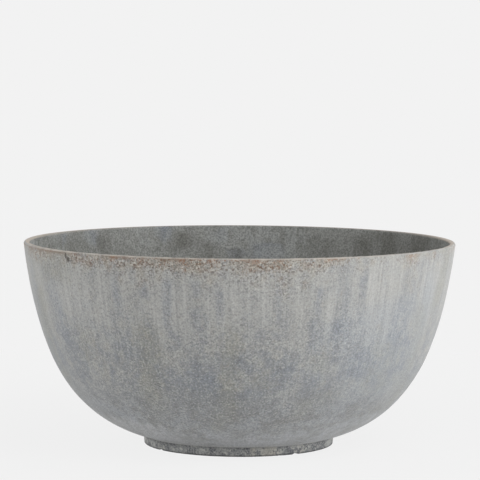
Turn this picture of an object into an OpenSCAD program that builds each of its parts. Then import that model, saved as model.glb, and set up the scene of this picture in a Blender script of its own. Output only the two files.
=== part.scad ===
// Round bowl planter: a stone-filled outer skin with a fibre lining bonded inside it,
// standing on a bonded foot ring, with a bush and a lift-out plug in its drain hole.

/* [Bowl] */
// Diameter across the outside of the rim
rim_d = 600; // [520:1:680]
// Height of the rim above the ground
height = 283; // [250:1:320]
// Lean of the wall out from the vertical at the rim, in degrees
rim_lean = 7.3; // [4:0.1:10]
// How far below the rim the lean of the rim is felt
rim_pull = 168; // [130:1:180]
// Slope of the underside where it leaves the foot, in degrees
seat_slope = 16; // [10:0.5:22]
// How far out from the foot the slope of the underside is felt
seat_pull = 104; // [80:1:120]

/* [Wall] */
// Thickness of the stone-filled skin
skin_t = 3; // [2.5:0.1:4.5]
// Thickness of the fibre lining
lining_t = 4.8; // [3.5:0.1:8]
// Resin line between pieces that are bonded together
bond = 0.2; // [0.1:0.05:0.4]
// Radius of the sanded edge on each side of the rim
rim_round = 2.4; // [1:0.1:2.8]

/* [Foot] */
// Diameter across the top of the foot ring
foot_d = 266; // [200:1:300]
// Height of the foot ring under the bowl
foot_h = 13; // [9:0.5:20]
// Width of the foot ring from outside to inside
foot_w = 16; // [12:0.5:24]
// How much each side of the ring draws in towards the ground
foot_draft = 1; // [0.5:0.1:2]
// Radius of the ring's lower edges
foot_round = 1.2; // [0.6:0.1:2.4]
// Step of the underside outside the foot ring
seat_step = 0.6; // [0.3:0.1:3]
// Width of the tongue on top of the ring
tongue_w = 7; // [5:0.5:9]
// Height of the tongue in its groove
tongue_h = 1.2; // [0.8:0.1:1.6]

/* [Drain notches] */
// Number of notches in the foot ring's lower edge
notch_count = 4; // [2:1:8]
// Width of a notch on the ground
notch_w = 11; // [8:0.5:16]
// Height of a notch at its middle
notch_h = 2; // [1:0.1:4]
// Turn of the first notch from the front, in degrees
notch_turn = 36; // [0:1:89]

/* [Drain] */
// Bore of the drain bush
drain_d = 24; // [18:1:32]
// Wall of the bush
bush_wall = 2.5; // [2:0.1:4]
// Width of the bush's flange around its sleeve
flange_w = 10; // [8:0.5:16]
// Thickness of the bush's flange, sunk flush in the floor
flange_t = 2.5; // [2:0.1:3]
// How far the sleeve stands out under the bowl, as a drip edge
drip_h = 2; // [1:0.1:4]

/* [Plug] */
// Clearance between the plug's ribs and the bore
plug_gap = 0.3; // [0.2:0.05:0.6]
// Height of the ribs on the stem
rib_h = 0.9; // [0.4:0.1:1.5]
// Thickness of each rib at its edge
rib_t = 1.2; // [0.8:0.1:2]
// Number of ribs on the stem
rib_count = 3; // [1:1:4]
// Width of the plug's head around the bore
head_w = 5; // [3:0.5:7]
// Thickness of the plug's head
head_t = 3; // [2:0.1:5]
// Diameter of the grip on the plug
grip_d = 18; // [14:1:28]
// Thickness of the grip
grip_t = 5; // [4:0.5:10]
// Diameter of the neck under the grip
neck_d = 9; // [7:0.5:12]
// Height of the neck between head and grip
neck_h = 5; // [4:0.5:12]
// Radius of the grip's edges
grip_round = 1.6; // [0.5:0.1:1.9]

/* [Hidden] */
$fn = 180;
curve_steps = 36;
round_steps = 5;
search_steps = 30;
over = 1;

wall_t = skin_t + bond + lining_t;
floor_z = foot_h + wall_t;
foot_r = foot_d / 2;
foot_inner_r = foot_r - foot_w;
seat_r = foot_r + seat_step;
tongue_inner_r = foot_r - foot_w / 2 - tongue_w / 2;
tongue_outer_r = foot_r - foot_w / 2 + tongue_w / 2;
notch_r = (notch_w * notch_w / 4 + notch_h * notch_h) / (2 * notch_h);

bore_r = drain_d / 2;
sleeve_r = bore_r + bush_wall;
sleeve_hole_r = sleeve_r + bond;
flange_r = sleeve_r + flange_w;
sleeve_z = foot_h - drip_h;

// The wall's outside would meet the plane of the rim here if its edge were left sharp.
rim_corner_r = rim_d / 2 + rim_round * ((1 + sin(rim_lean)) / cos(rim_lean) - 1);

// The outside of the wall is one cubic curve from the seat of the foot up to the rim.
seat_point = [seat_r, foot_h];
rim_point = [rim_corner_r, height];
curve = [
    seat_point,
    seat_point + seat_pull * [cos(seat_slope), sin(seat_slope)],
    rim_point - rim_pull * [sin(rim_lean), cos(rim_lean)],
    rim_point
];

function curve_point(t) =
    pow(1 - t, 3) * curve[0] + 3 * pow(1 - t, 2) * t * curve[1]
    + 3 * (1 - t) * t * t * curve[2] + pow(t, 3) * curve[3];

function curve_heading(t) =
    let (d = pow(1 - t, 2) * (curve[1] - curve[0]) + 2 * (1 - t) * t * (curve[2] - curve[1])
             + t * t * (curve[3] - curve[2]))
    d / norm(d);

// A point of the wall at a depth under its outside, square to it.
function wall_point(t, depth) =
    let (h = curve_heading(t))
    curve_point(t) + depth * [-h[1], h[0]];

// Where along the curve the wall at a depth passes a height, found by halving.
function wall_at(z, depth, low = 0, high = 1, left = search_steps) =
    let (middle = (low + high) / 2)
    left == 0 ? middle
    : wall_point(middle, depth)[1] < z ? wall_at(z, depth, middle, high, left - 1)
    : wall_at(z, depth, low, middle, left - 1);

// Points of the wall at a depth, from one height up to another.
function wall_points(depth, low_z, high_z) =
    let (low = wall_at(low_z, depth), high = wall_at(high_z, depth))
    [for (i = [0 : curve_steps])
        let (p = wall_point(low + (high - low) * i / curve_steps, depth))
        i == 0 ? [p[0], low_z] : i == curve_steps ? [p[0], high_z] : p];

// Where the wall at a depth meets the plane of the rim.
function rim_radius(depth) = rim_corner_r - depth / cos(rim_lean);

function arc_points(centre, r, from, to) = [
    for (i = [0 : round_steps])
        let (a = from + (to - from) * i / round_steps)
        centre + r * [cos(a), sin(a)]
];

function without_last(points) = [for (i = [0 : len(points) - 2]) points[i]];
function reversed(points) = [for (i = [len(points) - 1 : -1 : 0]) points[i]];

// Centres of the two sanded edges of the rim.
rim_outer_centre = [
    rim_corner_r - rim_round * (1 + sin(rim_lean)) / cos(rim_lean),
    height - rim_round
];
rim_inner_centre = [
    rim_radius(wall_t) + rim_round * (1 - sin(rim_lean)) / cos(rim_lean),
    height - rim_round
];
rim_outer_start = rim_outer_centre + rim_round * [cos(rim_lean), -sin(rim_lean)];
rim_inner_end = rim_inner_centre + rim_round * [-cos(rim_lean), sin(rim_lean)];

module ring_band(inner, outer, low, high) {
    rotate_extrude()
        translate([inner, low])
            square([outer - inner, high - low]);
}

module outer_skin() {
    inside_z = foot_h + skin_t;
    color("#9a9c9a")
    difference() {
        rotate_extrude()
            polygon(concat(
                [[sleeve_hole_r, foot_h]],
                without_last(wall_points(0, foot_h, rim_outer_start[1])),
                [rim_outer_start],
                arc_points(rim_outer_centre, rim_round, 0, 90),
                reversed(wall_points(skin_t, inside_z, height)),
                [[sleeve_hole_r, inside_z]]
            ));
        ring_band(tongue_inner_r - bond, tongue_outer_r + bond,
                  foot_h - over, foot_h + tongue_h + bond);
    }
}

module fibre_lining() {
    outside_z = foot_h + skin_t + bond;
    color("#858786")
    difference() {
        rotate_extrude()
            polygon(concat(
                [[sleeve_hole_r, outside_z]],
                wall_points(skin_t + bond, outside_z, height),
                arc_points(rim_inner_centre, rim_round, 90, 180 - rim_lean),
                reversed(without_last(wall_points(wall_t, floor_z, rim_inner_end[1]))),
                [[sleeve_hole_r, floor_z]]
            ));
        ring_band(0, flange_r + bond, floor_z - flange_t, floor_z + over);
    }
}

module foot_ring() {
    color("#747674")
    difference() {
        union() {
            rotate_extrude()
                polygon(concat(
                    [[foot_inner_r, foot_h]],
                    arc_points([foot_inner_r + foot_draft + foot_round, foot_round],
                               foot_round, 180, 270),
                    arc_points([foot_r - foot_draft - foot_round, foot_round],
                               foot_round, 270, 360),
                    [[foot_r, foot_h]]
                ));
            ring_band(tongue_inner_r, tongue_outer_r, foot_h - over, foot_h + tongue_h);
        }
        for (i = [0 : notch_count - 1])
            rotate([0, 0, notch_turn - 90 + i * 360 / notch_count])
                translate([foot_inner_r - over, 0, notch_h - notch_r])
                    rotate([0, 90, 0])
                        cylinder(h = foot_w + 2 * over, r = notch_r);
    }
}

module drain_bush() {
    color("#4c4f50")
    difference() {
        union() {
            translate([0, 0, floor_z - flange_t])
                cylinder(h = flange_t, r = flange_r);
            translate([0, 0, sleeve_z])
                cylinder(h = floor_z - sleeve_z, r = sleeve_r);
        }
        translate([0, 0, sleeve_z - over])
            cylinder(h = floor_z - sleeve_z + 2 * over, r = bore_r);
    }
}

module drain_plug() {
    rib_r = bore_r - plug_gap;
    stem_h = floor_z - sleeve_z;
    rib_pitch = stem_h / (rib_count + 1);
    grip_z = floor_z + head_t + neck_h;
    color("#3a3a3a") {
        translate([0, 0, sleeve_z])
            cylinder(h = stem_h, r = rib_r - rib_h);
        for (i = [1 : rib_count])
            translate([0, 0, sleeve_z + i * rib_pitch - rib_t / 2])
                cylinder(h = rib_t, r = rib_r);
        translate([0, 0, floor_z])
            cylinder(h = head_t, r = bore_r + head_w);
        translate([0, 0, floor_z])
            cylinder(h = head_t + neck_h + over, r = neck_d / 2);
        rotate_extrude()
            polygon(concat(
                [[0, grip_z]],
                arc_points([grip_d / 2 - grip_round, grip_z + grip_round],
                           grip_round, -90, 0),
                arc_points([grip_d / 2 - grip_round, grip_z + grip_t - grip_round],
                           grip_round, 0, 90),
                [[0, grip_z + grip_t]]
            ));
    }
}

outer_skin();
fibre_lining();
foot_ring();
drain_bush();
drain_plug();
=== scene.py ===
import math
import random
from types import SimpleNamespace

import bpy
import numpy as np
from mathutils import Matrix, Vector


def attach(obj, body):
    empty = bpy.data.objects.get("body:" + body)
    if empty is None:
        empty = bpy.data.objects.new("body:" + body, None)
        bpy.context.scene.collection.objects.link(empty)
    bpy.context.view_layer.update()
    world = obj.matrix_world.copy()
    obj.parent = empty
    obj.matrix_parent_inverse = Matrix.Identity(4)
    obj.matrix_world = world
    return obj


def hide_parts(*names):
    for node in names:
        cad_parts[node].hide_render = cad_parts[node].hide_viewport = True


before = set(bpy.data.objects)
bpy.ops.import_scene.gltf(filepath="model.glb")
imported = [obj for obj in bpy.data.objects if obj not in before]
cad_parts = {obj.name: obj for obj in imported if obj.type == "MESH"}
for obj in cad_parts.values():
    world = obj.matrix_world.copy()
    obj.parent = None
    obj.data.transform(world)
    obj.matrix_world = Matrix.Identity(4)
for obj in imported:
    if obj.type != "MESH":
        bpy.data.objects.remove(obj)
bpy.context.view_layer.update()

MM = 0.001

# The bowl, as in the CAD source.
RIM_RADIUS = 300 * MM
HEIGHT = 283 * MM
RIM_LEAN = math.radians(7.3)
RIM_PULL = 168 * MM
SEAT_SLOPE = math.radians(16)
SEAT_PULL = 104 * MM
SKIN = 3 * MM
LINING = 4.8 * MM
BOND = 0.2 * MM
RIM_ROUND = 2.4 * MM
FOOT_HEIGHT = 13 * MM
FOOT_RADIUS = 133 * MM
FOOT_WIDTH = 16 * MM
FOOT_DRAFT = 1 * MM
FOOT_ROUND = 1.2 * MM
SEAT_RADIUS = FOOT_RADIUS + 0.6 * MM
TONGUE_WIDTH = 7 * MM
TONGUE_HEIGHT = 1.2 * MM
TONGUE_IN = FOOT_RADIUS - FOOT_WIDTH / 2 - TONGUE_WIDTH / 2
TONGUE_OUT = FOOT_RADIUS - FOOT_WIDTH / 2 + TONGUE_WIDTH / 2
TONGUE_TOP = FOOT_HEIGHT + TONGUE_HEIGHT
NOTCH_COUNT = 4
NOTCH_WIDTH = 11 * MM
NOTCH_HEIGHT = 2 * MM
NOTCH_TURN = math.radians(36)
WALL = SKIN + BOND + LINING
FLOOR = FOOT_HEIGHT + WALL

# The drain's bush and plug, as in the CAD source.
BORE = 12 * MM
SLEEVE = 14.5 * MM
SLEEVE_HOLE = SLEEVE + BOND
SLEEVE_LOW = FOOT_HEIGHT - 2 * MM
FLANGE = 24.5 * MM
FLANGE_THICK = 2.5 * MM
RIB_RADIUS = BORE - 0.3 * MM
STEM_RADIUS = RIB_RADIUS - 0.9 * MM
RIB_THICK = 1.2 * MM
RIB_COUNT = 3
HEAD_RADIUS = BORE + 5 * MM
HEAD_THICK = 3 * MM
NECK_RADIUS = 4.5 * MM
NECK_HEIGHT = 5 * MM
GRIP_RADIUS = 9 * MM
GRIP_THICK = 5 * MM
GRIP_ROUND = 1.6 * MM

# Resin fills the joints between bonded pieces, so almost no gap is left to see.
RESIN_GAP = 0.02 * MM

SKIN_SEGMENTS = 640
LINING_SEGMENTS = 480
FOOT_SEGMENTS = 720
NOTCH_SEGMENTS = 96
DRAIN_SEGMENTS = 96
SHARP_EDGE = math.radians(35)

# The wall's outside is one cubic curve from the seat of the foot up to the rim.
LEAN_SIN = math.sin(RIM_LEAN)
LEAN_COS = math.cos(RIM_LEAN)
CORNER_RADIUS = RIM_RADIUS + RIM_ROUND * ((1 + LEAN_SIN) / LEAN_COS - 1)
CURVE = (
    Vector((SEAT_RADIUS, FOOT_HEIGHT)),
    Vector((SEAT_RADIUS + SEAT_PULL * math.cos(SEAT_SLOPE), FOOT_HEIGHT + SEAT_PULL * math.sin(SEAT_SLOPE))),
    Vector((CORNER_RADIUS - RIM_PULL * LEAN_SIN, HEIGHT - RIM_PULL * LEAN_COS)),
    Vector((CORNER_RADIUS, HEIGHT)),
)


def wall_point(along, depth):
    """Radius and height of the wall at a depth under its outside."""
    a, b, c, d = CURVE
    rest = 1 - along
    point = a * rest ** 3 + b * 3 * rest * rest * along + c * 3 * rest * along * along + d * along ** 3
    heading = (b - a) * rest * rest + (c - b) * 2 * rest * along + (d - c) * along * along
    heading.normalize()
    return point + Vector((-heading.y, heading.x)) * depth


def wall_at(height, depth):
    """Where along the curve the wall at a depth passes a height."""
    low, high = 0.0, 1.0
    for _ in range(40):
        middle = (low + high) / 2
        if wall_point(middle, depth).y < height:
            low = middle
        else:
            high = middle
    return (low + high) / 2


def lengths_along(points):
    """How far along a section each of its points lies."""
    lengths = [0.0]
    for before, after in zip(points, points[1:]):
        lengths.append(lengths[-1] + (after - before).length)
    return lengths


def wall_run(depth, low_height, high_height, count):
    """Evenly spaced points of the wall at a depth, going up."""
    low = wall_at(low_height, depth)
    high = wall_at(high_height, depth)
    points = [wall_point(low + (high - low) * i / count, depth) for i in range(count + 1)]
    spacing = lengths_along(points)
    even = []
    for i in range(count + 1):
        want = spacing[-1] * i / count
        k = max(1, next(j for j in range(1, count + 1) if spacing[j] >= want - 1e-12))
        share = (want - spacing[k - 1]) / (spacing[k] - spacing[k - 1])
        even.append(points[k - 1].lerp(points[k], share))
    return even


def rim_radius(depth):
    """Where the wall at a depth meets the plane of the rim."""
    return CORNER_RADIUS - depth / LEAN_COS


def arc(centre, radius, start, end, count):
    """Points of an arc, with angles in degrees."""
    points = []
    for i in range(count + 1):
        angle = math.radians(start + (end - start) * i / count)
        points.append(Vector((centre[0] + radius * math.cos(angle), centre[1] + radius * math.sin(angle))))
    return points


def along_line(start, end, count):
    """Points of a straight line with the last left out."""
    a = Vector(start)
    b = Vector(end)
    return [a.lerp(b, i / count) for i in range(count)]


def heights(points):
    """The heights of a section's points."""
    return np.array([p.y for p in points])


def extrude_rings(name, points, segments):
    """A skin of revolution, drawn by extruding a circle from point to point of its section."""
    bpy.ops.object.select_all(action="DESELECT")
    first = points[0]
    bpy.ops.mesh.primitive_circle_add(vertices=segments, radius=first[0], location=(0, 0, 0))
    piece = bpy.context.object
    piece.name = name
    piece.data.name = name
    bpy.ops.object.mode_set(mode="EDIT")
    bpy.ops.mesh.select_all(action="SELECT")
    bpy.ops.transform.translate(value=(0, 0, first[1]))
    for before, after in zip(points, points[1:]):
        grow = after[0] / before[0]
        bpy.ops.mesh.extrude_edges_move(TRANSFORM_OT_translate={"value": (0, 0, after[1] - before[1])})
        bpy.ops.transform.resize(value=(grow, grow, 1), center_override=(0, 0, after[1]))
    return piece


def select_first_ring(piece, segments):
    """Selects the ring that the section started from, as well as what is selected already."""
    bpy.ops.object.mode_set(mode="OBJECT")
    for edge in piece.data.edges[:segments]:
        edge.select = True
    for vertex in piece.data.vertices[:segments]:
        vertex.select = True
    bpy.ops.object.mode_set(mode="EDIT")
    bpy.ops.mesh.select_mode(type="EDGE")


def finish_mesh():
    """Turns all faces outwards and leaves edit mode."""
    bpy.ops.mesh.select_all(action="SELECT")
    bpy.ops.mesh.normals_make_consistent(inside=False)
    bpy.ops.object.mode_set(mode="OBJECT")


def turn_ring(name, points, segments):
    """A closed ring with the section that the points draw."""
    piece = extrude_rings(name, points, segments)
    select_first_ring(piece, segments)
    bpy.ops.mesh.bridge_edge_loops()
    finish_mesh()
    return piece


def turn_solid(name, points, segments):
    """A solid of revolution whose two ends are closed with flat faces."""
    piece = extrude_rings(name, points, segments)
    bpy.ops.mesh.edge_face_add()
    bpy.ops.mesh.select_all(action="DESELECT")
    select_first_ring(piece, segments)
    bpy.ops.mesh.edge_face_add()
    finish_mesh()
    return piece


def pick_only(piece):
    """Selects one piece and makes it the active one."""
    bpy.ops.object.select_all(action="DESELECT")
    piece.select_set(True)
    bpy.context.view_layer.objects.active = piece


def shade(piece):
    """Smooth shading that keeps sharp edges."""
    pick_only(piece)
    bpy.ops.object.shade_smooth_by_angle(angle=SHARP_EDGE)


def weigh_rings(piece, name, segments, weights):
    """A vertex group that holds each ring of the section at its own weight."""
    group = piece.vertex_groups.new(name=name)
    for ring, weight in enumerate(weights):
        if weight > 0:
            group.add(range(ring * segments, (ring + 1) * segments), min(weight, 1), "REPLACE")


def roughen(piece, name, size, depth, middle, group, octaves=2, contrast=1.0, lift=0.0):
    """Moves the surface along its normals by a cloud pattern of one size, and applies it.

    With contrast and lift most of the pattern is level, and only its low spots are left as nicks.
    """
    pattern = bpy.data.textures.new(piece.name + "_" + name, "CLOUDS")
    pattern.noise_scale = size
    pattern.noise_depth = octaves
    pattern.noise_basis = "IMPROVED_PERLIN"
    pattern.contrast = contrast
    pattern.intensity = 1 + lift
    pattern.use_clamp = True
    change = piece.modifiers.new(name, "DISPLACE")
    change.texture = pattern
    change.texture_coords = "LOCAL"
    change.strength = depth
    change.mid_level = middle
    change.vertex_group = group
    pick_only(piece)
    bpy.ops.object.modifier_apply(modifier=change.name)


def fade(value, start, end):
    """Goes smoothly from 0 at start to 1 at end."""
    share = np.clip((value - start) / (end - start), 0, 1)
    return share * share * (3 - 2 * share)


def outer_skin():
    """The stone-filled face coat, with its seat groove under the foot ring."""
    groove_in = TONGUE_IN - BOND
    groove_out = TONGUE_OUT + BOND
    groove_top = TONGUE_TOP + BOND
    centre = (CORNER_RADIUS - RIM_ROUND * (1 + LEAN_SIN) / LEAN_COS, HEIGHT - RIM_ROUND)
    edge = arc(centre, RIM_ROUND, -math.degrees(RIM_LEAN), 90, 7)
    underside = along_line((SLEEVE_HOLE, FOOT_HEIGHT), (groove_in, FOOT_HEIGHT), 6)
    underside += [Vector((groove_in, FOOT_HEIGHT)), Vector((groove_in, groove_top))]
    underside += [Vector((groove_out, groove_top)), Vector((groove_out, FOOT_HEIGHT))]
    face = wall_run(0, FOOT_HEIGHT, edge[0].y, 108)[:-1]
    hidden = wall_run(SKIN, FOOT_HEIGHT + SKIN, HEIGHT, 12)[::-1]
    hidden += [Vector((SLEEVE_HOLE, FOOT_HEIGHT + SKIN))]
    piece = turn_ring("outer_skin_weathered", underside + face + edge + hidden, SKIN_SEGMENTS)
    still = [0] * len(underside)
    rounded = [1] * (len(edge) - 1)
    rise = heights(face)
    open_face = fade(rise, FOOT_HEIGHT, FOOT_HEIGHT + 5 * MM) * fade(rise, HEIGHT - 3 * MM, HEIGHT - 25 * MM)
    all_face = fade(rise, FOOT_HEIGHT, FOOT_HEIGHT + 3 * MM)
    near_rim = fade(rise, HEIGHT - 12 * MM, HEIGHT - 3 * MM)
    weigh_rings(piece, "face", SKIN_SEGMENTS, [*still, *open_face])
    weigh_rings(piece, "grain", SKIN_SEGMENTS, [*still, *all_face, *rounded])
    weigh_rings(piece, "rim", SKIN_SEGMENTS, [*still, *near_rim, *rounded])
    # Hand laying leaves the wall about a millimetre out of true, and the mould's stone dust a fine grain.
    roughen(piece, "waviness", 130 * MM, 2.2 * MM, 0.5, "face")
    roughen(piece, "dimples", 28 * MM, 0.5 * MM, 0.5, "face")
    roughen(piece, "grain", 6 * MM, 0.3 * MM, 1.0, "grain")
    roughen(piece, "nicks", 8 * MM, 0.9 * MM, 1.0, "rim", contrast=3, lift=0.3)
    return piece


def fibre_lining():
    """The laminate inside the skin: its inner face is the inside of the bowl."""
    outside = SKIN + RESIN_GAP
    centre = (rim_radius(WALL) + RIM_ROUND * (1 - LEAN_SIN) / LEAN_COS, HEIGHT - RIM_ROUND)
    edge = arc(centre, RIM_ROUND, 90, 180 - math.degrees(RIM_LEAN), 7)
    face = wall_run(WALL, FLOOR, edge[-1].y, 84)[:-1][::-1]
    recess = FLANGE + RESIN_GAP
    seat = FLOOR - FLANGE_THICK
    hidden = [Vector((SLEEVE_HOLE, FOOT_HEIGHT + outside))]
    hidden += wall_run(outside, FOOT_HEIGHT + outside, HEIGHT, 12)
    floor = along_line((face[-1].x - 6 * MM, FLOOR), (recess, FLOOR), 24)
    floor += [Vector((recess, FLOOR)), Vector((recess, seat)), Vector((SLEEVE_HOLE, seat))]
    piece = turn_ring("fibre_lining_weathered", hidden + edge + face + floor, LINING_SEGMENTS)
    still = [0] * len(hidden)
    rise = heights(face)
    inner_wall = fade(rise, HEIGHT - 3 * MM, HEIGHT - 25 * MM)
    inner_floor = fade(np.array([p.x for p in floor]), recess + 2 * MM, recess + 20 * MM)
    near_rim = fade(rise, HEIGHT - 12 * MM, HEIGHT - 3 * MM)
    weigh_rings(piece, "inside", LINING_SEGMENTS, [*still, *([0] * len(edge)), *inner_wall, *inner_floor])
    weigh_rings(piece, "rim", LINING_SEGMENTS, [*still, *([1] * len(edge)), *near_rim])
    # The back of a hand-laid laminate follows its mat and brush marks, rougher than the mould side.
    roughen(piece, "waviness", 90 * MM, 2.4 * MM, 0.5, "inside")
    roughen(piece, "mat", 16 * MM, 0.8 * MM, 0.5, "inside")
    roughen(piece, "grain", 7 * MM, 0.4 * MM, 0.7, "inside")
    roughen(piece, "nicks", 8 * MM, 0.8 * MM, 1.0, "rim", contrast=3, lift=0.3)
    return piece


def foot_ring():
    """The rough cast ring that the bowl stands on, with drain notches in its lower edge."""
    inner = FOOT_RADIUS - FOOT_WIDTH
    low_in = arc((inner + FOOT_DRAFT + FOOT_ROUND, FOOT_ROUND), FOOT_ROUND, 180, 270, 4)
    low_out = arc((FOOT_RADIUS - FOOT_DRAFT - FOOT_ROUND, FOOT_ROUND), FOOT_ROUND, 270, 360, 4)
    inside = along_line((inner, FOOT_HEIGHT), low_in[0], 5)
    base = along_line(low_in[-1], low_out[0], 9)[1:]
    outside = along_line(low_out[-1], (FOOT_RADIUS, FOOT_HEIGHT), 9)[1:]
    top = [Vector((FOOT_RADIUS, FOOT_HEIGHT)), Vector((TONGUE_OUT, FOOT_HEIGHT))]
    top += [Vector((TONGUE_OUT, TONGUE_TOP)), Vector((TONGUE_IN, TONGUE_TOP))]
    top += [Vector((TONGUE_IN, FOOT_HEIGHT))]
    points = inside + low_in + base + low_out + outside + top
    piece = turn_ring("foot_ring_cast", points, FOOT_SEGMENTS)
    rise = heights(points)
    below_top = fade(rise, FOOT_HEIGHT + 0.1 * MM, FOOT_HEIGHT - 1.5 * MM)
    weigh_rings(piece, "cast", FOOT_SEGMENTS, np.where(rise > 0.8 * MM, below_top, 0.2))
    weigh_rings(piece, "sides", FOOT_SEGMENTS, fade(rise, 1 * MM, 4 * MM) * below_top)
    weigh_rings(piece, "lower_edge", FOOT_SEGMENTS, fade(rise, 5 * MM, 1 * MM))
    cut_notches(piece)
    merge_doubles(piece)
    # Cast against a coarse form and never smoothed, so its face is pitted and its lower edge is chipped.
    roughen(piece, "lumps", 16 * MM, 0.9 * MM, 0.2, "sides")
    roughen(piece, "pits", 4 * MM, 0.6 * MM, 1.0, "cast", octaves=3)
    roughen(piece, "chips", 13 * MM, 0.8 * MM, 1.0, "lower_edge", contrast=4, lift=0.8)
    return piece


def cut_notches(piece):
    """Cuts the shallow arched notches through the ring's lower edge."""
    radius = (NOTCH_WIDTH ** 2 / 4 + NOTCH_HEIGHT ** 2) / (2 * NOTCH_HEIGHT)
    middle = FOOT_RADIUS - FOOT_WIDTH / 2
    reach = FOOT_WIDTH + 6 * MM
    for i in range(NOTCH_COUNT):
        turn = NOTCH_TURN - math.pi / 2 + i * 2 * math.pi / NOTCH_COUNT
        place = (middle * math.cos(turn), middle * math.sin(turn), NOTCH_HEIGHT - radius)
        bpy.ops.object.select_all(action="DESELECT")
        bpy.ops.mesh.primitive_cylinder_add(vertices=NOTCH_SEGMENTS, radius=radius, depth=reach,
                                            location=place, rotation=(0, math.pi / 2, turn))
        cutter = bpy.context.object
        cut = piece.modifiers.new("notch", "BOOLEAN")
        cut.object = cutter
        cut.operation = "DIFFERENCE"
        cut.solver = "EXACT"
        pick_only(piece)
        bpy.ops.object.modifier_apply(modifier=cut.name)
        bpy.data.objects.remove(cutter)


def merge_doubles(piece):
    """Merges the doubled points that cuts leave, and drops the faces that have no width."""
    pick_only(piece)
    bpy.ops.object.mode_set(mode="EDIT")
    bpy.ops.mesh.select_all(action="SELECT")
    bpy.ops.mesh.remove_doubles(threshold=0.01 * MM)
    bpy.ops.mesh.dissolve_degenerate(threshold=0.01 * MM)
    finish_mesh()


def drain_bush():
    """The flanged bush that lines the drain hole, with eased edges as it leaves its mould."""
    ease = 0.5 * MM
    bottom = FLOOR - FLANGE_THICK
    points = along_line((BORE, SLEEVE_LOW + ease), (BORE, FLOOR - ease), 4)
    points += arc((BORE + ease, FLOOR - ease), ease, 180, 90, 4)
    points += along_line((BORE + ease, FLOOR), (FLANGE - ease, FLOOR), 6)[1:]
    points += arc((FLANGE - ease, FLOOR - ease), ease, 90, 0, 4)
    points += [Vector((FLANGE, bottom)), Vector((SLEEVE, bottom))]
    points += arc((SLEEVE - ease, SLEEVE_LOW + ease), ease, 0, -90, 4)
    points += [Vector((BORE + ease, SLEEVE_LOW))]
    return turn_ring("drain_bush_moulded", points, DRAIN_SEGMENTS)


def drain_plug():
    """The rubber plug: a ribbed stem, a head that seats on the bush and a grip to pull."""
    round_small = 0.4 * MM
    head_round = 1 * MM
    fillet = 1 * MM
    pitch = (FLOOR - SLEEVE_LOW) / (RIB_COUNT + 1)
    points = [Vector((STEM_RADIUS - 1.5 * MM, SLEEVE_LOW))]
    points += arc((STEM_RADIUS - round_small, SLEEVE_LOW + round_small), round_small, -90, 0, 3)
    for i in range(RIB_COUNT):
        middle = SLEEVE_LOW + (i + 1) * pitch
        low = middle - RIB_THICK / 2
        high = middle + RIB_THICK / 2
        points += [Vector((STEM_RADIUS, low))]
        points += arc((RIB_RADIUS - round_small, low + round_small), round_small, -90, 0, 3)
        points += arc((RIB_RADIUS - round_small, high - round_small), round_small, 0, 90, 3)
        points += [Vector((STEM_RADIUS, high))]
    points += [Vector((STEM_RADIUS, FLOOR))]
    points += arc((HEAD_RADIUS - round_small, FLOOR + round_small), round_small, -90, 0, 3)
    points += arc((HEAD_RADIUS - head_round, FLOOR + HEAD_THICK - head_round), head_round, 0, 90, 5)
    neck_low = FLOOR + HEAD_THICK
    neck_high = neck_low + NECK_HEIGHT
    points += arc((NECK_RADIUS + fillet, neck_low + fillet), fillet, 270, 180, 4)
    points += arc((NECK_RADIUS + fillet, neck_high - fillet), fillet, 180, 90, 4)
    points += arc((GRIP_RADIUS - GRIP_ROUND, neck_high + GRIP_ROUND), GRIP_ROUND, -90, 0, 5)
    top = neck_high + GRIP_THICK
    points += arc((GRIP_RADIUS - GRIP_ROUND, top - GRIP_ROUND), GRIP_ROUND, 0, 90, 5)
    # A shallow dish in the grip's top, where a thumb presses it home.
    points += [Vector((5.5 * MM, top)), Vector((4.5 * MM, top - 0.3 * MM)), Vector((2 * MM, top - 0.6 * MM))]
    return turn_solid("drain_plug_moulded", points, DRAIN_SEGMENTS)


skin = outer_skin()
lining = fibre_lining()
foot = foot_ring()
bush = drain_bush()
plug = drain_plug()

for piece, node_name, body in (
    (skin, "outer_skin", "bowl"),
    (lining, "fibre_lining", "bowl"),
    (foot, "foot_ring", "bowl"),
    (bush, "drain_bush", "bowl"),
    (plug, "drain_plug", "plug"),
):
    shade(piece)
    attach(piece, body)
    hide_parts(node_name)

# Marks on the wall, most left by rain and wear and some of them painted light and shade: degrees right of the
# front, start and end below the rim in millimetres, width in millimetres and strength.
PALE_RUNS = (
    (-67, 20, 110, 30, 0.7), (-49, 25, 95, 50, 0.8), (-37, 25, 140, 34, 0.8), (-28, 70, 120, 20, 0.7),
    (-21.5, 32, 135, 17, 0.9), (-14.5, 32, 125, 26, 1.0), (-1, 30, 100, 24, 0.8), (6.5, 25, 95, 24, 0.7),
    (15.5, 45, 135, 30, 0.8), (23.5, 50, 125, 14, 0.8), (37.5, 8, 150, 24, 1.0), (43, 12, 170, 22, 1.0),
    (64, 22, 150, 30, 0.5),
)
BLUE_RUNS = (
    (-72, 15, 200, 34, 0.6), (-60, 20, 150, 40, 0.6), (-49, 50, 150, 24, 0.4), (-33, 28, 75, 15, 0.8),
    (-25, 32, 55, 10, 0.8), (-24.5, 82, 96, 12, 1.0), (-18.5, 28, 98, 14, 0.9), (-11, 28, 56, 12, 0.7),
    (-11, 64, 140, 14, 0.6), (-5.2, 40, 92, 12, 0.8), (10.2, 34, 98, 12, 0.6), (20.5, 40, 80, 10, 0.8),
    (28, 45, 120, 12, 0.6), (33.5, 18, 62, 14, 0.8), (51, 36, 190, 56, 0.55), (-13, 130, 190, 70, 0.6),
    (29, 84, 145, 48, 0.6), (17.5, 150, 190, 46, 0.7), (33, 130, 185, 50, 0.7), (-10, 146, 182, 30, 1.0),
    (4, 170, 200, 26, 0.9),
)
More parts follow.
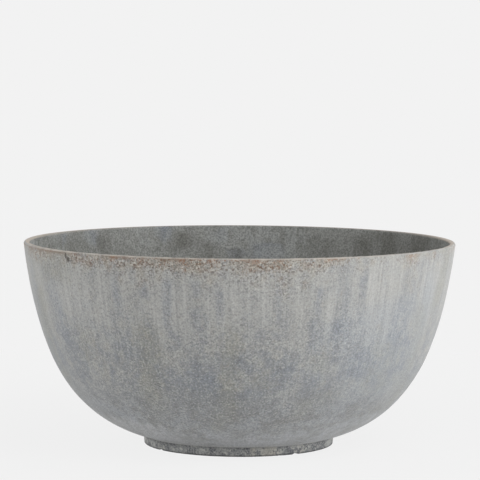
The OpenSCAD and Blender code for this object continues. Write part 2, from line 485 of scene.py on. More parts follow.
STAINS = (
    (-26, 85, 245, 40, 1.0), (-2.5, 90, 255, 28, 0.9), (-49, 100, 165, 34, 0.7), (-43, 150, 200, 24, 0.4),
    (22.5, 130, 162, 32, 0.9), (5.5, 152, 192, 32, 0.6), (41.5, 85, 205, 8, 0.8), (42, 150, 215, 26, 0.7),
    (64, 160, 245, 36, 0.8), (27, 186, 222, 66, 0.6), (-7.5, 222, 275, 32, 0.7), (-71, 100, 225, 40, 0.7),
    (-67, 10, 110, 56, 0.6), (-55, -8, 50, 110, 1.0), (69, -8, 100, 46, 1.0), (-69, 50, 150, 50, 1.0),
    (47, 118, 215, 70, 0.8), (60, 72, 225, 46, 1.0), (20, 196, 245, 40, 0.8),
)
RUST_CLUMPS = (
    (-61, 1, 5, 130, 0.5), (-46, 1, 5, 10, 0.7), (-41.4, 1, 6, 12, 0.7), (-33.2, 0, 9, 14, 1.0),
    (-32, 6, 14, 10, 0.35), (-25.4, 0, 7, 16, 0.9), (-24.7, 5, 16, 12, 0.5), (-22.4, 1, 5, 10, 0.7),
    (-18.3, 2, 6, 14, 0.5), (-14.9, 0, 7, 20, 1.0), (-13.8, 6, 22, 12, 0.45), (-10.5, 0, 5, 12, 0.8),
    (-6.6, 0, 7, 18, 1.0), (-5.5, 6, 18, 12, 0.4), (-3.2, 1, 5, 10, 0.8), (-0.5, 0, 5, 12, 0.8),
    (4, 0, 8, 24, 1.0), (2.3, 6, 26, 22, 0.45), (9.8, 0, 6, 18, 0.8), (8.2, 6, 24, 24, 0.4),
    (18.4, 4, 14, 14, 0.45), (23.1, 0, 6, 26, 1.0), (27, 0, 5, 10, 0.9), (30.8, 0, 5, 8, 0.8),
    (48.7, 1, 7, 26, 0.8), (60.4, 1, 6, 18, 0.7), (-24, 0, 4, 150, 0.5), (4, 0, 4, 130, 0.55),
    (24, 0, 4, 60, 0.5),
)
WORN_BAND = (
    (-42, -8, 26, 140, 0.75), (-18, -8, 30, 150, 1.0), (5.5, -8, 34, 120, 1.0), (20, -8, 26, 60, 0.8),
    (49, -8, 14, 40, 0.7), (-26, 4, 46, 36, 0.8), (-20, 4, 40, 14, 0.9), (10, 4, 54, 34, 1.0),
    (4, 4, 44, 20, 0.9), (51, 8, 54, 26, 0.7), (-8, 4, 40, 20, 0.8), (-64, -8, 26, 110, 0.9),
    (61, -8, 12, 20, 0.6), (-31, 4, 40, 20, 0.8), (16, 4, 48, 16, 0.8),
)
# Pale patches low on the wall, painted light.
LIT_LOW_PATCHES = ((-46, 252, 340, 150, 1.0), (-66, 240, 340, 60, 0.4))
CHIPS = (
    (-49.8, 2, 11, 6, 1.1), (-49, 8, 15, 6, 1.5), (-47.8, 10, 15, 12, 0.9), (-11, 3, 8, 8, 0.8),
    (-45, 0, 4, 8, 0.7),
)
DARK_EDGE_LINE = (
    (-72, 0.5, 6, 60, 0.9), (-55, 0.5, 6, 130, 1.0), (-33, 0.5, 6, 60, 1.0), (-15.6, 0.5, 6, 50, 0.8),
    (9.8, 2, 6, 14, 0.8),
)
COOL_SIDES = (
    (44, 60, 235, 190, 1.0), (24, 80, 200, 60, 0.6), (-44, 60, 110, 16, 0.5), (-56, 60, 140, 26, 0.5),
    (60, 30, 220, 50, 1.0),
)
SLEEK_SIDES = ((54, -80, 340, 280, 1.0),)
# The right end of the sanded edge is greyer, and partly painted shade.
GREY_SHADED_RIM = ((54, -8, 7, 200, 1.0), (-77, -8, 7, 60, 0.6))

# Marks on the foot.
PALE_CAST = (
    (17, 200, 500, 26, 1.0), (9, 200, 500, 10, 0.7), (42, 200, 500, 22, 0.4), (-52, 200, 500, 30, 0.3),
)

# Marks on the inside, whose wall at the back of the photograph is at 180 degrees.
RUBBED_ENDS = ((-88, -8, 7, 330, 1.0), (88, -8, 7, 240, 1.0))
# The pale patches about the middle of the back are partly painted light.
DRY_AND_LIT_PATCHES = (
    (186, 2, 34, 44, 1.0), (203, 4, 30, 30, 0.8), (210, 0, 36, 40, 0.5), (229, 0, 26, 34, 1.0),
    (244, 0, 30, 40, 0.6), (265, 0, 60, 80, 1.0), (97, 0, 50, 40, 0.7), (178, 0, 50, 70, 0.6),
    (170, 28, 60, 60, 1.0), (164, 4, 60, 60, 0.7), (171, 0, 30, 44, 0.7), (120, 0, 16, 50, 0.4),
)
COOL_PATCHES = (
    (229, 0, 24, 30, 1.0), (203, 0, 26, 26, 0.8), (170, 26, 56, 56, 1.0), (186, 2, 26, 26, 0.6),
    (181, 34, 60, 30, 0.6), (241, 2, 24, 20, 0.6),
)
# The dark patches towards the ends of the back, most towards the right, are partly painted shade where the
# inner wall faces away from the light.
DAMP_AND_SHADED_PATCHES = (
    (224, 8, 50, 38, 0.8), (198, 10, 40, 46, 0.9), (190, 24, 60, 50, 0.6), (180, 34, 60, 26, 0.7),
    (154, 16, 60, 36, 0.5), (140, 10, 60, 60, 0.9), (130, 0, 70, 80, 0.9), (118, -4, 70, 90, 0.9),
    (104, 0, 70, 60, 0.6), (236, 14, 50, 40, 0.5), (216, 20, 60, 40, 0.4),
)

# The photograph shows the outside up to 78 degrees either way, and the inside near the rim from 100 to 260.
BACK = (78, 282)
FRONT = (-96, 96)
ALL_ROUND = (0, 360)

# Each kind of mark: its piece and name, the seed of its wander, how crisp its sides are and the marks seen.
# Then come the same kind where the photograph doesn't show the wall, as scattered_marks draws them.
# Inside, the front half has patches like the back's, and the deep part has larger ones all round.
MARKS = (
    (skin, "pale_runs", 21, 4, PALE_RUNS, (11, 17, BACK, (5, 45), (60, 130), (14, 34), (0.6, 1))),
    (skin, "blue_runs", 22, 4, BLUE_RUNS, (12, 24, BACK, (25, 130), (30, 90), (10, 42), (0.6, 1))),
    (skin, "stains", 23, 2, STAINS, (13, 14, BACK, (80, 180), (50, 120), (24, 46), (0.5, 1))),
    (skin, "rust", 24, 2, RUST_CLUMPS, (14, 30, BACK, (0, 2), (4, 8), (8, 40), (0.5, 1))),
    (skin, "worn_band", 34, 2, WORN_BAND, (27, 6, BACK, (-8, -7), (22, 40), (60, 150), (0.5, 1))),
    (skin, "splashes", 35, 2, LIT_LOW_PATCHES, (28, 5, BACK, (236, 250), (90, 100), (60, 150), (0.4, 0.9))),
    (skin, "chips", 32, 2, CHIPS, (26, 4, BACK, (0, 4), (5, 9), (8, 12), (0.7, 1))),
    (skin, "soiled_edge", 29, 2, DARK_EDGE_LINE, (19, 7, BACK, (0.5, 1), (4, 6), (40, 110), (0.6, 1))),
    (skin, "cool_sides", 30, 2, COOL_SIDES, (20, 6, BACK, (40, 90), (90, 150), (60, 170), (0.6, 1))),
    (skin, "sleek_sides", 31, 2, SLEEK_SIDES, (22, 3, BACK, (-90, -80), (400, 420), (160, 240), (0.7, 1))),
    (skin, "clean_rim", 27, 2, GREY_SHADED_RIM, (17, 4, BACK, (-8, -6), (12, 14), (120, 200), (0.7, 1))),
    (foot, "pale_cast", 36, 2, PALE_CAST, (29, 9, BACK, (200, 200), (300, 300), (12, 34), (0.3, 1))),
    (lining, "rubbed_edge", 33, 2, RUBBED_ENDS),
    (lining, "dry_patches", 25, 2, DRY_AND_LIT_PATCHES,
     (15, 9, FRONT, (0, 30), (25, 50), (30, 70), (0.5, 1)),
     (23, 14, ALL_ROUND, (70, 220), (70, 140), (50, 130), (0.2, 0.5))),
    (lining, "cool_patches", 28, 2, COOL_PATCHES,
     (18, 6, FRONT, (0, 40), (25, 50), (26, 60), (0.5, 1)),
     (24, 8, ALL_ROUND, (70, 200), (90, 160), (80, 180), (0.2, 0.45))),
    (lining, "damp_patches", 26, 2, DAMP_AND_SHADED_PATCHES,
     (16, 8, FRONT, (5, 40), (35, 60), (30, 60), (0.5, 1)),
     (25, 13, ALL_ROUND, (80, 210), (60, 140), (50, 150), (0.2, 0.5))),
)


def scattered_marks(seed, count, between, starts, lengths, widths, strengths):
    """A number of marks drawn at random, spread between two angles, from ranges of their measures."""
    pick = random.Random(seed)
    step = (between[1] - between[0]) / count
    marks = []
    for i in range(count):
        angle = between[0] + (i + pick.uniform(0.1, 0.9)) * step
        start = pick.uniform(*starts)
        end = start + pick.uniform(*lengths)
        marks.append((angle, start, end, pick.uniform(*widths), pick.uniform(*strengths)))
    return marks


def wall_places(piece):
    """For each vertex: degrees right of the front, millimetres below the rim along the wall, and radius."""
    count = len(piece.data.vertices)
    flat = np.empty(count * 3)
    piece.data.vertices.foreach_get("co", flat)
    x, y, z = flat.reshape(count, 3).T
    run = wall_run(0, FOOT_HEIGHT, HEIGHT, 200)
    lengths = lengths_along(run)
    below = (lengths[-1] - np.interp(z, heights(run), lengths)) / MM
    return np.degrees(np.arctan2(x, -y)), below, np.hypot(x, y) / MM


def paint_marks(piece, name, seed, crispness, marks):
    """Stores marks on the surface as an attribute that the piece's material reads."""
    angle, below, radius = wall_places(piece)
    pick = random.Random(seed)
    value = np.zeros(len(angle))
    for centre, start, end, width, strength in marks:
        phase = pick.uniform(0, 2 * math.pi)
        wander = 0.12 * width * np.sin(below / 23 + phase)
        across = ((angle - centre + 180) % 360 - 180) * math.pi / 180 * radius + wander
        side = np.exp(-np.abs(across / (0.5 * width)) ** crispness)
        reach = end - start
        ends = fade(below, start - 0.15 * reach, start + 0.15 * reach)
        ends *= 1 - fade(below, end - 0.35 * reach, end + 0.2 * reach)
        value = np.maximum(value, strength * side * ends)
    attribute = piece.data.attributes.new(name=name, type="FLOAT", domain="POINT")
    attribute.data.foreach_set("value", value)


for piece, name, seed, crispness, seen, *unseen in MARKS:
    marks = list(seen)
    for spread in unseen:
        marks += scattered_marks(*spread)
    paint_marks(piece, name, seed, crispness, marks)

# The kinds of node. A range's inputs are its value, where that starts and ends, and what those two become.
NOISE = "ShaderNodeTexNoise"
CELLS = "ShaderNodeTexVoronoi"
RANGE = "ShaderNodeMapRange"
MATH = "ShaderNodeMath"
VECTORS = "ShaderNodeVectorMath"
MIX = "ShaderNodeMix"
SURFACE = "ShaderNodeOutputMaterial"
SOFT = {"interpolation_type": "SMOOTHSTEP"}
# Fine dust on a rough face catches light that grazes it.
DUSTY = {"Sheen Weight": 0.25, "Sheen Roughness": 0.5}


def linear(hex_colour):
    """An sRGB hex colour as the linear colour that a shader takes."""
    parts = [int(hex_colour[i:i + 2], 16) / 255 for i in (1, 3, 5)]
    return tuple(p / 12.92 if p <= 0.04045 else ((p + 0.055) / 1.055) ** 2.4 for p in parts) + (1,)


def node(tree, kind, inputs=None, output=0, **settings):
    """Adds a node with its settings, and gives one of its outputs where it has any.

    The inputs are in order, or by name or number. Each is a value, or the output that feeds it.
    """
    made = tree.nodes.new(kind)
    for name, value in settings.items():
        setattr(made, name, value)
    known = inputs if isinstance(inputs, dict) else dict(enumerate(inputs or ()))
    for name, value in known.items():
        if isinstance(value, bpy.types.NodeSocket):
            tree.links.new(value, made.inputs[name])
        else:
            made.inputs[name].default_value = value
    return made.outputs[output] if made.outputs else None


def new_material(name):
    """An empty material and its node tree."""
    material = bpy.data.materials.new(name)
    material.use_nodes = True
    material.node_tree.nodes.clear()
    return material, material.node_tree


def wall_coordinates(tree):
    """Object coordinates, height, and a cylinder's coordinates in which a pattern can hang down the wall."""
    place = node(tree, "ShaderNodeTexCoord", output="Object")
    parts = node(tree, "ShaderNodeSeparateXYZ", {0: place}).node.outputs
    level = node(tree, "ShaderNodeCombineXYZ", (parts[0], parts[1], 0.0))
    unit = node(tree, VECTORS, {0: level}, operation="NORMALIZE")
    around = node(tree, VECTORS, {0: unit, "Scale": RIM_RADIUS}, operation="SCALE")
    rise = node(tree, "ShaderNodeCombineXYZ", (0.0, 0.0, parts[2]))
    hanging = node(tree, VECTORS, (around, rise), operation="ADD")
    return place, parts[2], hanging


def painted_marks(tree, piece):
    """The strengths of the marks painted on a piece, by name."""
    names = [name for marked, name, *_ in MARKS if marked is piece]
    return {name: node(tree, "ShaderNodeAttribute", output="Fac", attribute_name=name) for name in names}


def streaks(tree, hanging, width, length, detail=2.0):
    """A noise pattern drawn out down the wall: streaks of a width and a length."""
    drawn = node(tree, "ShaderNodeMapping", {"Vector": hanging, "Scale": (1, 1, width / length)})
    return node(tree, NOISE, {"Vector": drawn, "Scale": 1 / width, "Detail": detail})


def parted(tree, pattern):
    """A noise pattern parted into dark and pale areas with soft borders."""
    return node(tree, RANGE, (pattern, 0.36, 0.64), **SOFT)


def layer(tree, under, over, amount):
    """Lays one colour over another by an amount. A colour is a hex, or the output that gives it."""
    under, over = (linear(c) if isinstance(c, str) else c for c in (under, over))
    return node(tree, MIX, {0: amount, 6: under, 7: over}, output=2, data_type="RGBA")


def amount_of(tree, mark, pattern, low, high, strength, ragged):
    """How much of a mark shows once a pattern has made its edges ragged."""
    centred = node(tree, MATH, (pattern, 0.5), operation="SUBTRACT")
    broken = node(tree, MATH, (centred, ragged, mark), operation="MULTIPLY_ADD")
    return node(tree, RANGE, (broken, low, high, 0.0, strength), **SOFT)


def lay_stains(tree, colour, *stains):
    """Lays stains over a colour. Each is its colour and then, as for amount_of, its mark and how it shows."""
    for stain, *shown in stains:
        colour = layer(tree, colour, stain, amount_of(tree, *shown))
    return colour


def surface(tree, relief, strength, depth, shading):
    """Ends a material with its shading and a relief of a strength and a depth."""
    bump = node(tree, "ShaderNodeBump", {"Height": relief, "Strength": strength, "Distance": depth})
    shader = node(tree, "ShaderNodeBsdfPrincipled", {**shading, "Normal": bump})
    node(tree, SURFACE, {"Surface": shader})


def face_coat_patterns(tree):
    """The face coat's coordinates, marks and patterns, from broad mottles down to grit."""
    place, height, hanging = wall_coordinates(tree)
    coat = SimpleNamespace(place=place, height=height, marks=painted_marks(tree, skin))

    # Mottling about 45 mm and 13 mm across, from stone dust that settled unevenly in the mould.
    coat.broad = node(tree, NOISE, {"Vector": place, "Scale": 1 / (45 * MM), "Detail": 3.0})
    coat.patchy = node(tree, NOISE, {"Vector": place, "Scale": 1 / (13 * MM), "Detail": 3.0})
    coat.mottled = node(tree, MIX, {0: 0.5, 2: coat.broad, 3: coat.patchy})
    coat.ground = parted(tree, coat.mottled)

    # Grit of 1 to 3 mm shows as speckle; the finer dust between it is drawn as coarse as it needs to show.
    coat.grit = node(tree, NOISE, {"Vector": place, "Scale": 1 / (2.2 * MM)})
    grains = node(tree, CELLS, {"Vector": place, "Scale": 1 / (2.1 * MM)}, output="Color")
    coat.chance = node(tree, "ShaderNodeSeparateColor", {0: grains})

    # Rain draws streaks down the wall.
    coat.thin = streaks(tree, hanging, 3.5 * MM, 55 * MM)
    coat.wide = streaks(tree, hanging, 11 * MM, 130 * MM)
    coat.stripes = streaks(tree, hanging, 5.5 * MM, 140 * MM, 3.0)
    return coat


def mottled_ground(tree, coat):
    """The face coat's colour, with painted light that pales and evens it low down near the foot."""
    # Up the wall the dark mottles are bluish and the pale ones are warm; low down it is the other way round.
    low_down = node(tree, RANGE, (coat.height, 120 * MM, 60 * MM), **SOFT)
    dark_mottle = layer(tree, "#83878b", "#878886", low_down)
    pale_mottle = layer(tree, "#9c9c99", "#999ca0", low_down)
    colour = layer(tree, dark_mottle, pale_mottle, coat.ground)

    # Painted light: the last 50 mm or so above the foot is lighter and more even, standing in for light
    # thrown up from the floor.
    lit_foot_zone = node(tree, RANGE, (coat.height, 70 * MM, 16 * MM, 0.0, 0.9), **SOFT)
    even = layer(tree, "#959695", "#b7b9bc", coat.ground)
    colour = layer(tree, colour, even, lit_foot_zone)

    # Painted light: pale patches on the lower wall, lightest low on the left, stand in for light thrown up
    # from the floor.
    colour = lay_stains(tree, colour, ("#cbcccd", coat.marks["splashes"], coat.patchy, 0.1, 1.1, 0.5, 1.2))

    # Painted light pales the last few millimetres above the foot, against the shade where the wall meets it.
    seat = node(tree, RANGE, (coat.height, FOOT_HEIGHT + 7 * MM, FOOT_HEIGHT + 1 * MM, 0.0, 0.7), **SOFT)
    return layer(tree, colour, "#c2c2c1", seat)


def rain_washed(tree, coat, colour):
    """Lays lime bloom and damp runs over a colour, and gives it with the amount of the bloom."""
    marks = coat.marks
    # The bloom thins out between 62 and 168 mm below the rim, later in the pale runs than in the blue ones.
    high_up = node(tree, RANGE, (coat.height, HEIGHT - 168 * MM, HEIGHT - 62 * MM, -0.1, 0.6))
    more_bloom = node(tree, MATH, (marks["pale_runs"], 0.34, high_up), operation="MULTIPLY_ADD")
    less_bloom = node(tree, MATH, (marks["blue_runs"], -0.24, more_bloom), operation="MULTIPLY_ADD")
    streaky = node(tree, MIX, {0: 0.25, 2: coat.wide, 3: coat.patchy})
    combed = node(tree, MIX, {0: 0.38, 2: streaky, 3: coat.stripes})
    bloom = amount_of(tree, less_bloom, combed, 0.06, 0.94, 0.9, 1.2)
    lime = layer(tree, "#a4a4a1", "#afafac", parted(tree, coat.stripes))
    colour = layer(tree, colour, lime, bloom)
    colour = lay_stains(
        tree, colour,
        ("#8b9097", marks["blue_runs"], combed, 0.1, 1.0, 0.36, 1.8),
        ("#8c8c84", marks["stains"], coat.patchy, 0.1, 1.1, 0.6, 1.2),
        ("#9ba2aa", marks["cool_sides"], coat.mottled, 0.1, 1.1, 0.34, 1.0),
    )
    lines = node(tree, RANGE, (coat.thin, 0.35, 0.65, 0.94, 1.06))
    return node(tree, VECTORS, {0: colour, "Scale": lines}, operation="SCALE"), bloom


def browned_rim(tree, coat, colour):
    """Browns a colour near the rim, and gives it with how far each place is browned."""
    # Handling and standing water have browned the last 32 mm under the rim, and more where a mark says so.
    near_rim = node(tree, RANGE, (coat.height, HEIGHT - 32 * MM, HEIGHT - 6 * MM), **SOFT)
    worn = coat.marks["worn_band"]
    worn_here = node(tree, MATH, (worn, 0.7, 0.3), operation="MULTIPLY_ADD")
    even_band = node(tree, MATH, (near_rim, worn_here), operation="MULTIPLY")
    low_band = node(tree, MATH, (worn, 0.45), operation="MULTIPLY")
    band = node(tree, MATH, (even_band, low_band), operation="MAXIMUM")
    clots = node(tree, NOISE, {"Vector": coat.place, "Scale": 1 / (8 * MM)})
    colour = lay_stains(
        tree, colour,
        ("#968f83", band, coat.patchy, 0.1, 1.3, 0.75, 2.2),
        ("#857a6f", band, clots, 0.7, 1.6, 0.66, 4.0),
    )
    return colour, band


def speckled(tree, coat, colour, bloom, band):
    """Strews dark and pale grit over a colour, and gives it with how far the grit stands out."""
    # There is most of it under the rim, and less in the bloom, near the foot and on the sleek sides.
    spread = node(tree, RANGE, (coat.height, 15 * MM, 60 * MM, 0.9, 1.0))
    calm = node(tree, MATH, (bloom, -0.42, 1.0), operation="MULTIPLY_ADD")
    on_wall = node(tree, MATH, (spread, calm), operation="MULTIPLY")
    and_rim = node(tree, MATH, (band, 1.15, on_wall), operation="MULTIPLY_ADD")
    sleek = node(tree, MATH, (coat.marks["sleek_sides"], -0.48, 1.0), operation="MULTIPLY_ADD")
    much = node(tree, MATH, (and_rim, sleek), operation="MULTIPLY")
    few_dark = node(tree, RANGE, (coat.chance, 0.12, 0.22, 0.5, 0.0))
    few_pale = node(tree, RANGE, (coat.chance, 0.78, 0.88, 0.0, 0.27))
    dark = node(tree, MATH, (few_dark, much), operation="MULTIPLY")
    pale = node(tree, MATH, (few_pale, much), operation="MULTIPLY")
    colour = layer(tree, colour, layer(tree, "#73767a", "#785f4c", band), dark)
    colour = layer(tree, colour, layer(tree, "#c4c3bf", "#c2bcb1", band), pale)
    fine = node(tree, RANGE, (coat.grit, 0.3, 0.7, -0.25, 0.25))
    factor = node(tree, MATH, (fine, much, 1.0), operation="MULTIPLY_ADD")
    colour = node(tree, VECTORS, {0: colour, "Scale": factor}, operation="SCALE")
    return colour, node(tree, MATH, (pale, dark), operation="SUBTRACT")


def rusted_edge(tree, coat, colour):
    """Lays a thin dark brown line along the sanded edge, rust in clumps of grains under it, and dark nicks.
    """
    spots = node(tree, NOISE, {"Vector": coat.place, "Scale": 1 / (1.9 * MM), "Detail": 3.0,
                               "Roughness": 0.65})
    return lay_stains(
        tree, colour,
        ("#7b6a5b", coat.marks["soiled_edge"], spots, 0.1, 1.1, 0.75, 1.6),
        ("#9b7c67", coat.marks["rust"], spots, 0.25, 1.4, 0.62, 3.6),
        ("#825b43", coat.marks["rust"], spots, 0.8, 1.5, 0.66, 4.2),
        ("#443e37", coat.marks["chips"], spots, 0.4, 1.0, 0.9, 2.6),
    )


def air_pits(tree, coat):
    """Single pits a millimetre or two wide, where air bubbles stayed at the mould's face."""
    bubbles = node(tree, CELLS, {"Vector": coat.place, "Scale": 1 / (24 * MM)}).node.outputs
    chance = node(tree, "ShaderNodeSeparateColor", {0: bubbles["Color"]}, output=1)
    few = node(tree, MATH, (chance, 0.62), operation="GREATER_THAN")
    pit = node(tree, RANGE, (bubbles["Distance"], 0.03, 0.06, 0.5, 0.0))
    return node(tree, MATH, (pit, few), operation="MULTIPLY")


def sanded_edge(tree, coat, colour):
    """Rubs the edge itself bare to the pale filler."""
    bare = node(tree, RANGE, (coat.height, HEIGHT - 2.2 * MM, HEIGHT - 1.0 * MM), **SOFT)
    rubbed = node(tree, RANGE, (coat.patchy, 0.38, 0.6, 0.35, 0.95))
    worn = node(tree, MATH, (bare, rubbed), operation="MULTIPLY")
    filler = layer(tree, "#b9b7b1", "#c1b7ab", coat.broad)
    # At the right the filler is greyer and darker: partly its own grey, partly painted shade on the edge's
    # top where the light from above right falls strongest.
    filler = layer(tree, filler, "#aaaaa7", coat.marks["clean_rim"])
    return layer(tree, colour, filler, worn)


def stone_face_coat():
    """Polyester filled with stone dust, cast against a mould, acid washed and weathered.

    Looks like dense grey cement: matt, blue-grey, with a pale limey bloom washed down from the rim,
    grit as fine as salt and pepper, and rust brown where the worn rim has been handled.
    """
    material, tree = new_material("stone_filled_polyester_acid_washed")
    coat = face_coat_patterns(tree)
    colour = mottled_ground(tree, coat)
    colour, bloom = rain_washed(tree, coat, colour)
    colour, band = browned_rim(tree, coat, colour)
    colour, salt = speckled(tree, coat, colour, bloom, band)
    colour = rusted_edge(tree, coat, colour)
    pits = air_pits(tree, coat)
    colour = layer(tree, colour, "#5d5b57", pits)
    colour = sanded_edge(tree, coat, colour)

    raised = node(tree, MATH, (salt, 0.8, coat.grit), operation="MULTIPLY_ADD")
    relief = node(tree, MATH, (pits, -2.0, raised), operation="MULTIPLY_ADD")
    matt = node(tree, RANGE, (bloom, 0.0, 1.0, 0.82, 0.94))
    surface(tree, relief, 0.6, 0.3 * MM, {"Base Color": colour, "Roughness": matt, "IOR": 1.5, **DUSTY})
    return material


def stone_laminate():
    """Glass mat laid up with stone-filled resin and brushed inside the mould, then weathered.

    Looks like the face coat but darker and duller, with brush marks down the wall, soil-brown
    patches and blue-grey ones, and no bloom below the rim. Its pale and dark patches are partly
    painted light and painted shade.
    """
    material, tree = new_material("glass_mat_laminate_stone_filled")
    place, height, hanging = wall_coordinates(tree)
    marks = painted_marks(tree, lining)
    broad = node(tree, NOISE, {"Vector": place, "Scale": 1 / (60 * MM), "Detail": 3.0})
    patchy = node(tree, NOISE, {"Vector": place, "Scale": 1 / (13 * MM), "Detail": 3.0})
    grit = node(tree, NOISE, {"Vector": place, "Scale": 1 / (2.4 * MM)})
    brushed = streaks(tree, hanging, 9 * MM, 45 * MM)
    mottled = node(tree, MIX, {0: 0.55, 2: broad, 3: patchy})
    smeared = node(tree, MIX, {0: 0.5, 2: patchy, 3: brushed})
    colour = layer(tree, "#8a8b87", "#9c9d9a", parted(tree, mottled))
    # Pale patches about the middle of the back are partly painted light, and dark ones towards its ends
    # partly painted shade.
    colour = lay_stains(
        tree, colour,
        ("#868b93", marks["cool_patches"], mottled, 0.1, 1.0, 0.85, 1.6),
        ("#a2a4a3", marks["dry_patches"], smeared, 0.1, 1.1, 0.75, 3.2),
        ("#66655f", marks["damp_patches"], smeared, 0.1, 1.1, 0.64, 3.4),
    )

    # Silt has dried on the floor and left a paler line where the water stood.
    depth = node(tree, MATH, (broad, 16 * MM, height), operation="MULTIPLY_ADD")
    silt = node(tree, RANGE, (depth, FLOOR + 30 * MM, FLOOR + 8 * MM, 0.0, 0.5), **SOFT)
    colour = layer(tree, colour, "#77736a", silt)
    shore = node(tree, RANGE, (depth, FLOOR + 27 * MM, FLOOR + 32 * MM))
    above = node(tree, RANGE, (depth, FLOOR + 32 * MM, FLOOR + 38 * MM, 0.4, 0.0))
    tide = node(tree, MATH, (shore, above), operation="MULTIPLY")
    colour = layer(tree, colour, "#a9a8a2", tide)

    strokes = node(tree, RANGE, (brushed, 0.3, 0.7, 0.93, 1.07))
    fine = node(tree, RANGE, (grit, 0.3, 0.7, 0.66, 1.34))
    factor = node(tree, MATH, (strokes, fine), operation="MULTIPLY")
    colour = node(tree, VECTORS, {0: colour, "Scale": factor}, operation="SCALE")

    # The sanded edge shows its filler, and at the two sides hands have rubbed the rounded edge as well.
    bare = node(tree, RANGE, (height, HEIGHT - 0.7 * MM, HEIGHT - 0.2 * MM, 0.0, 0.8), **SOFT)
    colour = layer(tree, colour, "#aea59c", bare)
    rounded = node(tree, RANGE, (height, HEIGHT - 3 * MM, HEIGHT - 1.8 * MM), **SOFT)
    handled = node(tree, MATH, (rounded, marks["rubbed_edge"]), operation="MULTIPLY")
    colour = layer(tree, colour, "#c8beb3", handled)
    surface(tree, grit, 0.5, 0.3 * MM, {"Base Color": colour, "Roughness": 0.9, "IOR": 1.5})
    return material


def rough_cast_foot():
    """The same stone filler cast coarse and left as it came, with painted shade under the bowl's seat and
    along its lower edge.

    Looks like broken slate: dark blue-grey, gritty, with light chips of bare filler.
    """
    material, tree = new_material("stone_filled_resin_rough_cast")
    place = node(tree, "ShaderNodeTexCoord", output="Object")
    lumps = node(tree, NOISE, {"Vector": place, "Scale": 1 / (16 * MM), "Detail": 4.0})
    grit = node(tree, NOISE, {"Vector": place, "Scale": 1 / (2.5 * MM)})
    gritty = node(tree, MIX, {0: 0.6, 2: lumps, 3: grit})
    colour = layer(tree, "#717377", "#bebfbd", parted(tree, gritty))
    grains = node(tree, CELLS, {"Vector": place, "Scale": 1 / (3.4 * MM)}, output="Color")
    chance = node(tree, "ShaderNodeSeparateColor", {0: grains})
    bare = node(tree, RANGE, (chance, 0.8, 0.9, 0.0, 0.6))
    colour = layer(tree, colour, "#dadad4", bare)
    pale_cast = painted_marks(tree, foot)["pale_cast"]
    colour = lay_stains(tree, colour, ("#cfcbc1", pale_cast, grit, 0.1, 1.1, 0.75, 2.2))
    height = node(tree, "ShaderNodeSeparateXYZ", {0: place}, output=2)
    # Painted shade: a dark band at the top of the ring, under the bowl's seat.
    shade_under_seat = node(tree, RANGE, (height, FOOT_HEIGHT - 4 * MM, FOOT_HEIGHT, 0.0, 0.4))
    colour = layer(tree, colour, "#4a4b4b", shade_under_seat)
    # Painted shadow: a darker band along the lower edge, where the ring stands on the floor.
    contact_shadow = node(tree, RANGE, (height, 3 * MM, 0.5 * MM, 0.0, 0.9))
    colour = layer(tree, colour, "#3c3d3d", contact_shadow)
    surface(tree, grit, 0.8, 0.6 * MM, {"Base Color": colour, "Roughness": 0.92, "IOR": 1.5, **DUSTY})
    return material


def moulded_plastic_bush():
    """Polypropylene, injection moulded in a lightly sparked mould: even charcoal with a low satin sheen."""
    material, tree = new_material("polypropylene_moulded")
    place = node(tree, "ShaderNodeTexCoord", output="Object")
    cloud = node(tree, NOISE, {"Vector": place, "Scale": 1 / (9 * MM)})
    # Spark texture is about 0.1 mm; it is drawn at 0.6 mm so that it shows close up.
    spark = node(tree, NOISE, {"Vector": place, "Scale": 1 / (0.6 * MM)})
    colour = layer(tree, "#3c3e40", "#4b4d4e", cloud)
    dust = node(tree, RANGE, (spark, 0.55, 0.8, 0.0, 0.25))
    colour = layer(tree, colour, "#77756f", dust)
    satin = node(tree, RANGE, (cloud, 0.3, 0.7, 0.42, 0.58))
    surface(tree, spark, 0.3, 0.05 * MM, {"Base Color": colour, "Roughness": satin, "IOR": 1.49})
    return material


def moulded_rubber_plug():
    """EPDM rubber, press moulded: near black, matt, with a grey bloom of mould dust on its faces."""
    material, tree = new_material("epdm_rubber_moulded")
    place = node(tree, "ShaderNodeTexCoord", output="Object")
    cloud = node(tree, NOISE, {"Vector": place, "Scale": 1 / (7 * MM), "Detail": 3.0})
    grain = node(tree, NOISE, {"Vector": place, "Scale": 1 / (0.8 * MM)})
    dust = node(tree, RANGE, (cloud, 0.4, 0.7, 0.0, 0.6))
    colour = layer(tree, "#2a2a2b", "#454543", dust)
    matt = node(tree, RANGE, (cloud, 0.3, 0.7, 0.62, 0.82))
    surface(tree, grain, 0.35, 0.08 * MM, {"Base Color": colour, "Roughness": matt, "IOR": 1.52})
    return material


def give(piece, material):
    """Gives a piece one material."""
    piece.data.materials.clear()
    piece.data.materials.append(material)


give(skin, stone_face_coat())
give(lining, stone_laminate())
give(foot, rough_cast_foot())
give(bush, moulded_plastic_bush())
give(plug, moulded_rubber_plug())

BACKDROP = "#f2f2f2"
PAPER = "#f9f9f9"
FLOOR_RADIUS = 6
FADE_START = 0.25
FADE_END = 1.1
SKYLIGHT = 0.5

# Each lamp: its name, its place, the side of its square, its power in watts and the height that it faces.
LAMPS = (
    ("key_high_right", (1.5, -1.6, 2.2), 1.5, 27.5, 0.15),
    ("side_right", (2.6, 0.2, 1.0), 1.5, 6.5, 0.15),
    ("side_left", (-2.6, 0.2, 1.0), 1.5, 2.8, 0.15),
    ("low_right", (1.0, -0.6, 0.24), 0.45, 2.5, 0.1),
    ("low_left", (-1.0, -0.6, 0.24), 0.45, 1.5, 0.1),
    ("low_back_left", (-1.3, 0.9, 0.24), 0.45, 2, 0.1),
    ("low_back_right", (1.3, 0.9, 0.24), 0.45, 1.5, 0.1),
)

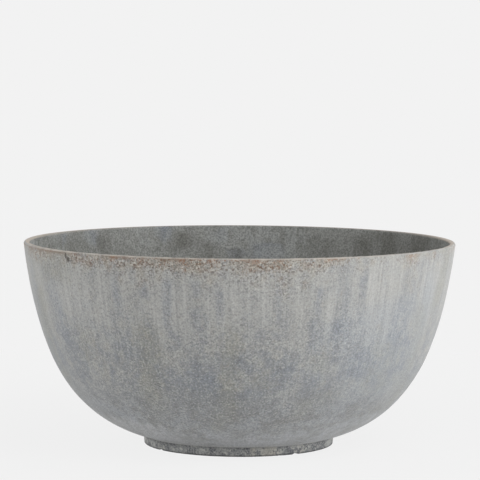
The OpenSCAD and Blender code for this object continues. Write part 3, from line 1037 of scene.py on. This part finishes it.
# The camera stands where the photograph's did, as fitted to the bowl's outline.
CAMERA_PLACE = (0.00055, -3.5, 0.55672)
CAMERA_DOWN = 0.07783
CAMERA_ROLL = 0.00514
CAMERA_LENS = 188.91
CAMERA_SENSOR = 36
CAMERA_REACH = 100


def seen_directly(tree):
    """1 for what the camera sees itself, in a reflection or through glass, and 0 for light on the object."""
    ray = node(tree, "ShaderNodeLightPath").node.outputs
    mirrored = node(tree, MATH, (ray["Is Camera Ray"], ray["Is Glossy Ray"]), operation="ADD")
    through = node(tree, MATH, (mirrored, ray["Is Transmission Ray"]), operation="ADD")
    return node(tree, MATH, (through, 1.0), operation="MINIMUM")


def pale_floor():
    """Matt pale paper, dark where the bowl covers it, that fades into the backdrop around the foot."""
    material, tree = new_material("matt_paper_floor")
    place = node(tree, "ShaderNodeTexCoord", output="Object")
    away = node(tree, VECTORS, {0: place}, output="Value", operation="LENGTH")
    faded = node(tree, RANGE, (away, FADE_START, FADE_END, 0.94, 1.0), **SOFT)
    # Inside the foot ring, where only the open drain shows it, the paper keeps all of its shadow.
    covered = FOOT_RADIUS - FOOT_WIDTH - 4 * MM
    open_air = node(tree, MATH, (away, covered), operation="GREATER_THAN")
    lost = node(tree, MATH, (faded, open_air), operation="MULTIPLY")
    paper = node(tree, "ShaderNodeBsdfDiffuse", {"Color": linear(PAPER)})
    flat = node(tree, "ShaderNodeEmission", {"Color": linear(BACKDROP), "Strength": 1.0})
    shown = node(tree, "ShaderNodeMixShader", (lost, paper, flat))
    mixed = node(tree, "ShaderNodeMixShader", (seen_directly(tree), paper, shown))
    node(tree, SURFACE, {"Surface": mixed})
    return material


def studio_floor():
    """The floor that the bowl stands on."""
    bpy.ops.object.select_all(action="DESELECT")
    bpy.ops.mesh.primitive_circle_add(vertices=96, radius=FLOOR_RADIUS, fill_type="NGON", location=(0, 0, 0))
    floor = bpy.context.object
    floor.name = "floor"
    give(floor, pale_floor())


def studio_world():
    """Even light from all round, with the plain backdrop where the camera looks past the floor."""
    world = bpy.data.worlds.new("studio")
    bpy.context.scene.world = world
    world.use_nodes = True
    tree = world.node_tree
    tree.nodes.clear()
    fill = node(tree, "ShaderNodeBackground", {"Color": linear("#ffffff"), "Strength": SKYLIGHT})
    backdrop = node(tree, "ShaderNodeBackground", {"Color": linear(BACKDROP), "Strength": 1.0})
    mixed = node(tree, "ShaderNodeMixShader", (seen_directly(tree), fill, backdrop))
    node(tree, "ShaderNodeOutputWorld", {"Surface": mixed})


def softbox(name, place, size, power, aim_height):
    """A square soft light that faces a height on the bowl's axis."""
    data = bpy.data.lights.new(name, "AREA")
    data.size = size
    data.energy = power
    lamp = bpy.data.objects.new(name, data)
    bpy.context.scene.collection.objects.link(lamp)
    lamp.location = place
    lamp.rotation_euler = (Vector((0, 0, aim_height)) - Vector(place)).to_track_quat("-Z", "Y").to_euler()


def studio_camera():
    """The camera of the photograph."""
    data = bpy.data.cameras.new("camera")
    data.sensor_width = CAMERA_SENSOR
    data.lens = CAMERA_LENS
    data.clip_end = CAMERA_REACH
    camera = bpy.data.objects.new("camera", data)
    bpy.context.scene.collection.objects.link(camera)
    camera.matrix_world = (
        Matrix.Translation(CAMERA_PLACE)
        @ Matrix.Rotation(math.pi / 2 - CAMERA_DOWN, 4, "X")
        @ Matrix.Rotation(CAMERA_ROLL, 4, "Z")
    )
    bpy.context.scene.camera = camera


studio_floor()
studio_world()
for lamp in LAMPS:
    softbox(*lamp)
studio_camera()
bpy.context.scene.view_settings.view_transform = "Standard"
